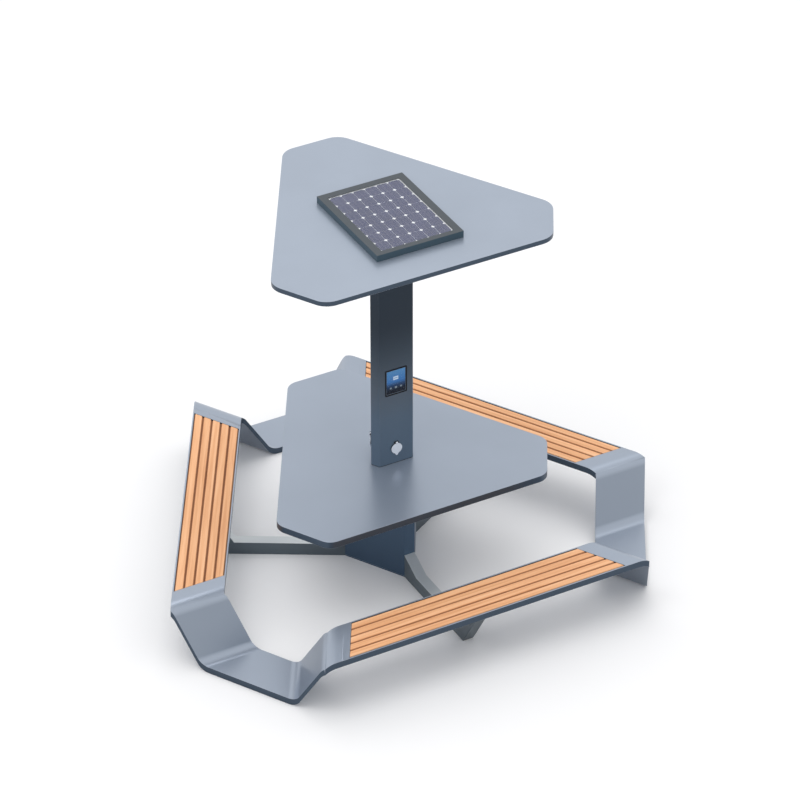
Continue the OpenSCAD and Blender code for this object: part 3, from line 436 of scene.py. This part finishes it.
def silicon():
    """Dark blue cells with their silver busbars, drawn along the panel."""
    material = bpy.data.materials.new("silicon_cells")
    material.use_nodes = True
    n, link = material.node_tree.nodes, material.node_tree.links.new
    cell, place, turned = n["Principled BSDF"], n.new("ShaderNodeTexCoord"), n.new("ShaderNodeMapping")
    turned.inputs["Rotation"].default_value = (0, 0, math.radians(PANEL_TURN))
    link(place.outputs["Object"], turned.inputs["Vector"])
    parts = n.new("ShaderNodeSeparateXYZ")
    link(turned.outputs[0], parts.inputs[0])
    turn = n.new("ShaderNodeMath")
    turn.operation = "DIVIDE"
    turn.inputs[1].default_value = CELL_PITCH / BUSBARS
    link(parts.outputs["Y"], turn.inputs[0])
    ping = n.new("ShaderNodeMath")
    ping.operation = "PINGPONG"
    ping.inputs[1].default_value = 0.5
    link(turn.outputs[0], ping.inputs[0])
    silver = n.new("ShaderNodeMath")
    silver.operation = "GREATER_THAN"
    silver.inputs[1].default_value = 0.5 - BUSBAR_SHARE / 2
    link(ping.outputs[0], silver.inputs[0])
    cloud = n.new("ShaderNodeTexNoise")
    cloud.inputs["Scale"].default_value = 5.0
    link(turned.outputs[0], cloud.inputs["Vector"])
    blue = n.new("ShaderNodeMix")
    blue.data_type = "RGBA"
    blue.inputs["A"].default_value = CELL_DARK
    blue.inputs["B"].default_value = CELL_PALE
    link(cloud.outputs["Fac"], blue.inputs["Factor"])
    drawn = n.new("ShaderNodeMix")
    drawn.data_type = "RGBA"
    drawn.inputs["B"].default_value = BUSBAR
    link(silver.outputs[0], drawn.inputs["Factor"])
    link(blue.outputs["Result"], drawn.inputs["A"])
    link(drawn.outputs["Result"], cell.inputs["Base Color"])
    cell.inputs["Roughness"].default_value = 0.35
    return material


# The pane is a hair thinner than its pocket, so it shares no face with the cells
PANE_SHARE = 0.9
pane = eased("panel_glass", 0.0003)
heights = [vertex.co.z for vertex in pane.data.vertices]
bpy.ops.object.mode_set(mode="EDIT")
bpy.ops.mesh.select_all(action="SELECT")
bpy.ops.transform.resize(
    value=(1, 1, PANE_SHARE), center_override=(0, 0, (min(heights) + max(heights)) / 2))
bpy.ops.object.mode_set(mode="OBJECT")
dress(clear_glass("solar_glass", 0.0, 0.1), pane)
dress(silicon(), "panel_cells")
white_sheet = rubber("white_backsheet", (0.8, 0.81, 0.82))
dress(white_sheet, "panel_backsheet")
black_plastic = rubber("black_plastic", (0.008, 0.009, 0.012))
black_plastic.node_tree.nodes["Principled BSDF"].inputs["Specular IOR Level"].default_value = 0.2
dress(black_plastic, "junction_box")

# ---- Display ----
# A slim black bezel with a glass front. The lit screen behind it fades from
# light blue to near black, with one large and three small plain marks.
dress(black_plastic, "display_housing", eased("display_bezel", 0.0008))
dress(clear_glass("display_glass", 0.02, 0.02), "display_glass")


# Heights of the screen's lower and upper end, and the stops of its fade
SCREEN_LOW, SCREEN_HIGH = 1.333, 1.503
SCREEN_STOPS = ((0.18, (0.008, 0.014, 0.028)), (0.36, (0.02, 0.055, 0.14)), (0.52, (0.045, 0.17, 0.45)))
# Plain marks: place across, height, width, height of the mark, and colour
MARKS = (
    (-0.002, 1.445, 0.036, 0.026, (0.55, 0.68, 0.85)),
    (-0.002, 1.445, 0.028, 0.005, (0.12, 0.26, 0.5)),
    (-0.038, 1.374, 0.014, 0.012, (0.2, 0.26, 0.32)),
    (-0.001, 1.374, 0.016, 0.014, (0.24, 0.3, 0.36)),
    (0.036, 1.374, 0.014, 0.012, (0.2, 0.26, 0.32)),
)


def lit_screen():
    material = bpy.data.materials.new("lit_screen")
    material.use_nodes = True
    n, link = material.node_tree.nodes, material.node_tree.links.new
    screen, place, turned = n["Principled BSDF"], n.new("ShaderNodeTexCoord"), n.new("ShaderNodeMapping")
    turned.inputs["Rotation"].default_value = (0, 0, math.radians(PANEL_TURN))
    link(place.outputs["Object"], turned.inputs["Vector"])
    parts = n.new("ShaderNodeSeparateXYZ")
    link(turned.outputs[0], parts.inputs[0])

    def math_node(operation, a, b):
        node = n.new("ShaderNodeMath")
        node.operation = operation
        for i, value in enumerate((a, b)):
            if isinstance(value, (int, float)):
                node.inputs[i].default_value = value
            else:
                link(value, node.inputs[i])
        return node.outputs[0]

    def mark(across, height, wide, tall):
        """A small rectangle on the screen: 1 inside and 0 outside."""
        u = math_node("ABSOLUTE", math_node("SUBTRACT", parts.outputs["Y"], across), 0.0)
        v = math_node("ABSOLUTE", math_node("SUBTRACT", parts.outputs["Z"], height), 0.0)
        return math_node("MULTIPLY", math_node("LESS_THAN", u, wide / 2), math_node("LESS_THAN", v, tall / 2))

    fade = n.new("ShaderNodeMapRange")
    fade.inputs["From Min"].default_value, fade.inputs["From Max"].default_value = SCREEN_LOW, SCREEN_HIGH
    link(parts.outputs["Z"], fade.inputs["Value"])
    sky = n.new("ShaderNodeValToRGB")
    stops = sky.color_ramp.elements
    stops[0].position, stops[0].color = 0.0, (0.006, 0.009, 0.016, 1)
    stops[1].position, stops[1].color = 1.0, (0.085, 0.25, 0.5, 1)
    for position, colour in SCREEN_STOPS:
        stops.new(position).color = (*colour, 1)
    link(fade.outputs[0], sky.inputs["Fac"])
    glow = sky.outputs["Color"]
    for *shape, colour in MARKS:
        painted = n.new("ShaderNodeMix")
        painted.data_type = "RGBA"
        painted.inputs["B"].default_value = (*colour, 1)
        link(mark(*shape), painted.inputs["Factor"])
        link(glow, painted.inputs["A"])
        glow = painted.outputs["Result"]
    link(glow, screen.inputs["Emission Color"])
    screen.inputs["Base Color"].default_value = (0.005, 0.006, 0.008, 1)
    screen.inputs["Emission Strength"].default_value = 0.8
    screen.inputs["Roughness"].default_value = 0.3
    screen.inputs["Specular IOR Level"].default_value = 0.1
    return material


dress(lit_screen(), "display_screen")

# ---- Charging sockets and their flip covers ----
# A round black socket body with a metal sleeve sits in each broad side of the
# post. A pale die-cast cover with a finger tab hangs over it on a pin.
def cast_metal():
    material = bpy.data.materials.new("cast_cover")
    material.use_nodes = True
    n, link = material.node_tree.nodes, material.node_tree.links.new
    metal, place, cast = n["Principled BSDF"], n.new("ShaderNodeTexCoord"), n.new("ShaderNodeTexNoise")
    cast.inputs["Scale"].default_value = 160.0
    link(place.outputs["Object"], cast.inputs["Vector"])
    tint = n.new("ShaderNodeMix")
    tint.data_type = "RGBA"
    tint.inputs["A"].default_value = (0.8, 0.85, 0.95, 1)
    tint.inputs["B"].default_value = (0.88, 0.93, 1.0, 1)
    link(cast.outputs["Fac"], tint.inputs["Factor"])
    link(tint.outputs["Result"], metal.inputs["Base Color"])
    fine = n.new("ShaderNodeBump")
    fine.inputs["Strength"].default_value, fine.inputs["Distance"].default_value = 0.1, 0.0003
    link(cast.outputs["Fac"], fine.inputs["Height"])
    link(fine.outputs["Normal"], metal.inputs["Normal"])
    metal.inputs["Roughness"].default_value = 0.4
    metal.inputs["Metallic"].default_value = 0.2
    return material


cast = cast_metal()
dress(black_plastic, "socket_housings")
dress(zinc, "socket_sleeves")
for side in ("front", "left", "back"):
    dress(cast, eased("socket_cover_" + side, 0.0008, body="cover_" + side))

# ---- Service door with its hinges and latch ----
# A flat steel door over the opening in the pedestal's far side, with vent
# slots, two pin hinges and a quarter-turn latch.
dress(slate, "door_hinges", eased("service_door", 0.001, body="service_door"))
dress(zinc, "latch_barrel", "latch_cam")

# ---- Battery, charge controller and cables ----
# They stand inside the pedestal. The battery feeds the controller on the
# wall, and cables run from there up the post to the panel and the outlets.
dress(rubber("battery_case", (0.02, 0.022, 0.026)), "battery")
dress(zinc, "battery_terminals")
dress(anodised, "charge_controller")
dress(black_plastic, "terminal_block")
dress(black_rubber, "solar_cable", "output_cables", "battery_cables")

# ---- Floor, light and background ----
# A plain pale floor under a white sky that is brightest overhead, as in a
# photo studio. Only the light that falls on the object dims to the horizon.
FLOOR_SIZE, FLOOR_LIT, FLOOR_SEEN = 400, (0.32, 0.32, 0.32, 1), (0.93, 0.93, 0.94, 1)
# World strength at the horizon and overhead, as it lights the object
HORIZON, ZENITH = 0.7, 1.15
# Name, place, size and watts of the two large lamps
SOFTBOXES = (
    ("back_softbox", (0.0, 3.0, 9.0), (8.0, 3.0), 110.0),
    ("front_softbox", (-3.0, -4.0, 9.0), (5.0, 3.0), 110.0),
)
bpy.ops.object.select_all(action="DESELECT")
bpy.ops.mesh.primitive_plane_add(size=FLOOR_SIZE)
floor = bpy.context.object
floor.name = "floor"


def seen_directly(nodes_of, link):
    """1 on camera, mirror and glass rays, and 0 on rays that only carry light."""
    path = nodes_of.new("ShaderNodeLightPath")
    shown = path.outputs["Is Camera Ray"]
    for ray in ("Is Glossy Ray", "Is Transmission Ray"):
        either = nodes_of.new("ShaderNodeMath")
        either.operation = "MAXIMUM"
        link(shown, either.inputs[0])
        link(path.outputs[ray], either.inputs[1])
        shown = either.outputs[0]
    return shown


pale = bpy.data.materials.new("pale_floor")
pale.use_nodes = True
n, link = pale.node_tree.nodes, pale.node_tree.links.new
tone = n.new("ShaderNodeMix")
tone.data_type = "RGBA"
tone.inputs["A"].default_value = FLOOR_LIT
tone.inputs["B"].default_value = FLOOR_SEEN
link(seen_directly(n, link), tone.inputs["Factor"])
link(tone.outputs["Result"], n["Principled BSDF"].inputs["Base Color"])
n["Principled BSDF"].inputs["Roughness"].default_value = 1.0
n["Principled BSDF"].inputs["Specular IOR Level"].default_value = 0.0
floor.data.materials.append(pale)

for name, place, size, watts in SOFTBOXES:
    light = bpy.data.lights.new(name, "AREA")
    light.shape, light.size, light.size_y, light.energy = "RECTANGLE", *size, watts
    lamp = bpy.data.objects.new(name, light)
    lamp.location = place
    lamp.rotation_euler = (-Vector(place)).to_track_quat("-Z", "Y").to_euler()
    bpy.context.scene.collection.objects.link(lamp)

world = bpy.context.scene.world or bpy.data.worlds.new("studio")
bpy.context.scene.world = world
world.use_nodes = True
n, link = world.node_tree.nodes, world.node_tree.links.new
sky, aim, height = n["Background"], n.new("ShaderNodeTexCoord"), n.new("ShaderNodeSeparateXYZ")
link(aim.outputs["Generated"], height.inputs[0])
glow = n.new("ShaderNodeMapRange")
glow.interpolation_type = "SMOOTHSTEP"
glow.inputs["To Min"].default_value, glow.inputs["To Max"].default_value = HORIZON, ZENITH
link(height.outputs["Z"], glow.inputs["Value"])
level = n.new("ShaderNodeMix")
link(seen_directly(n, link), level.inputs["Factor"])
link(glow.outputs[0], level.inputs["A"])
level.inputs["B"].default_value = 1.0
link(level.outputs["Result"], sky.inputs["Strength"])
sky.inputs["Color"].default_value = (1, 1, 1, 1)
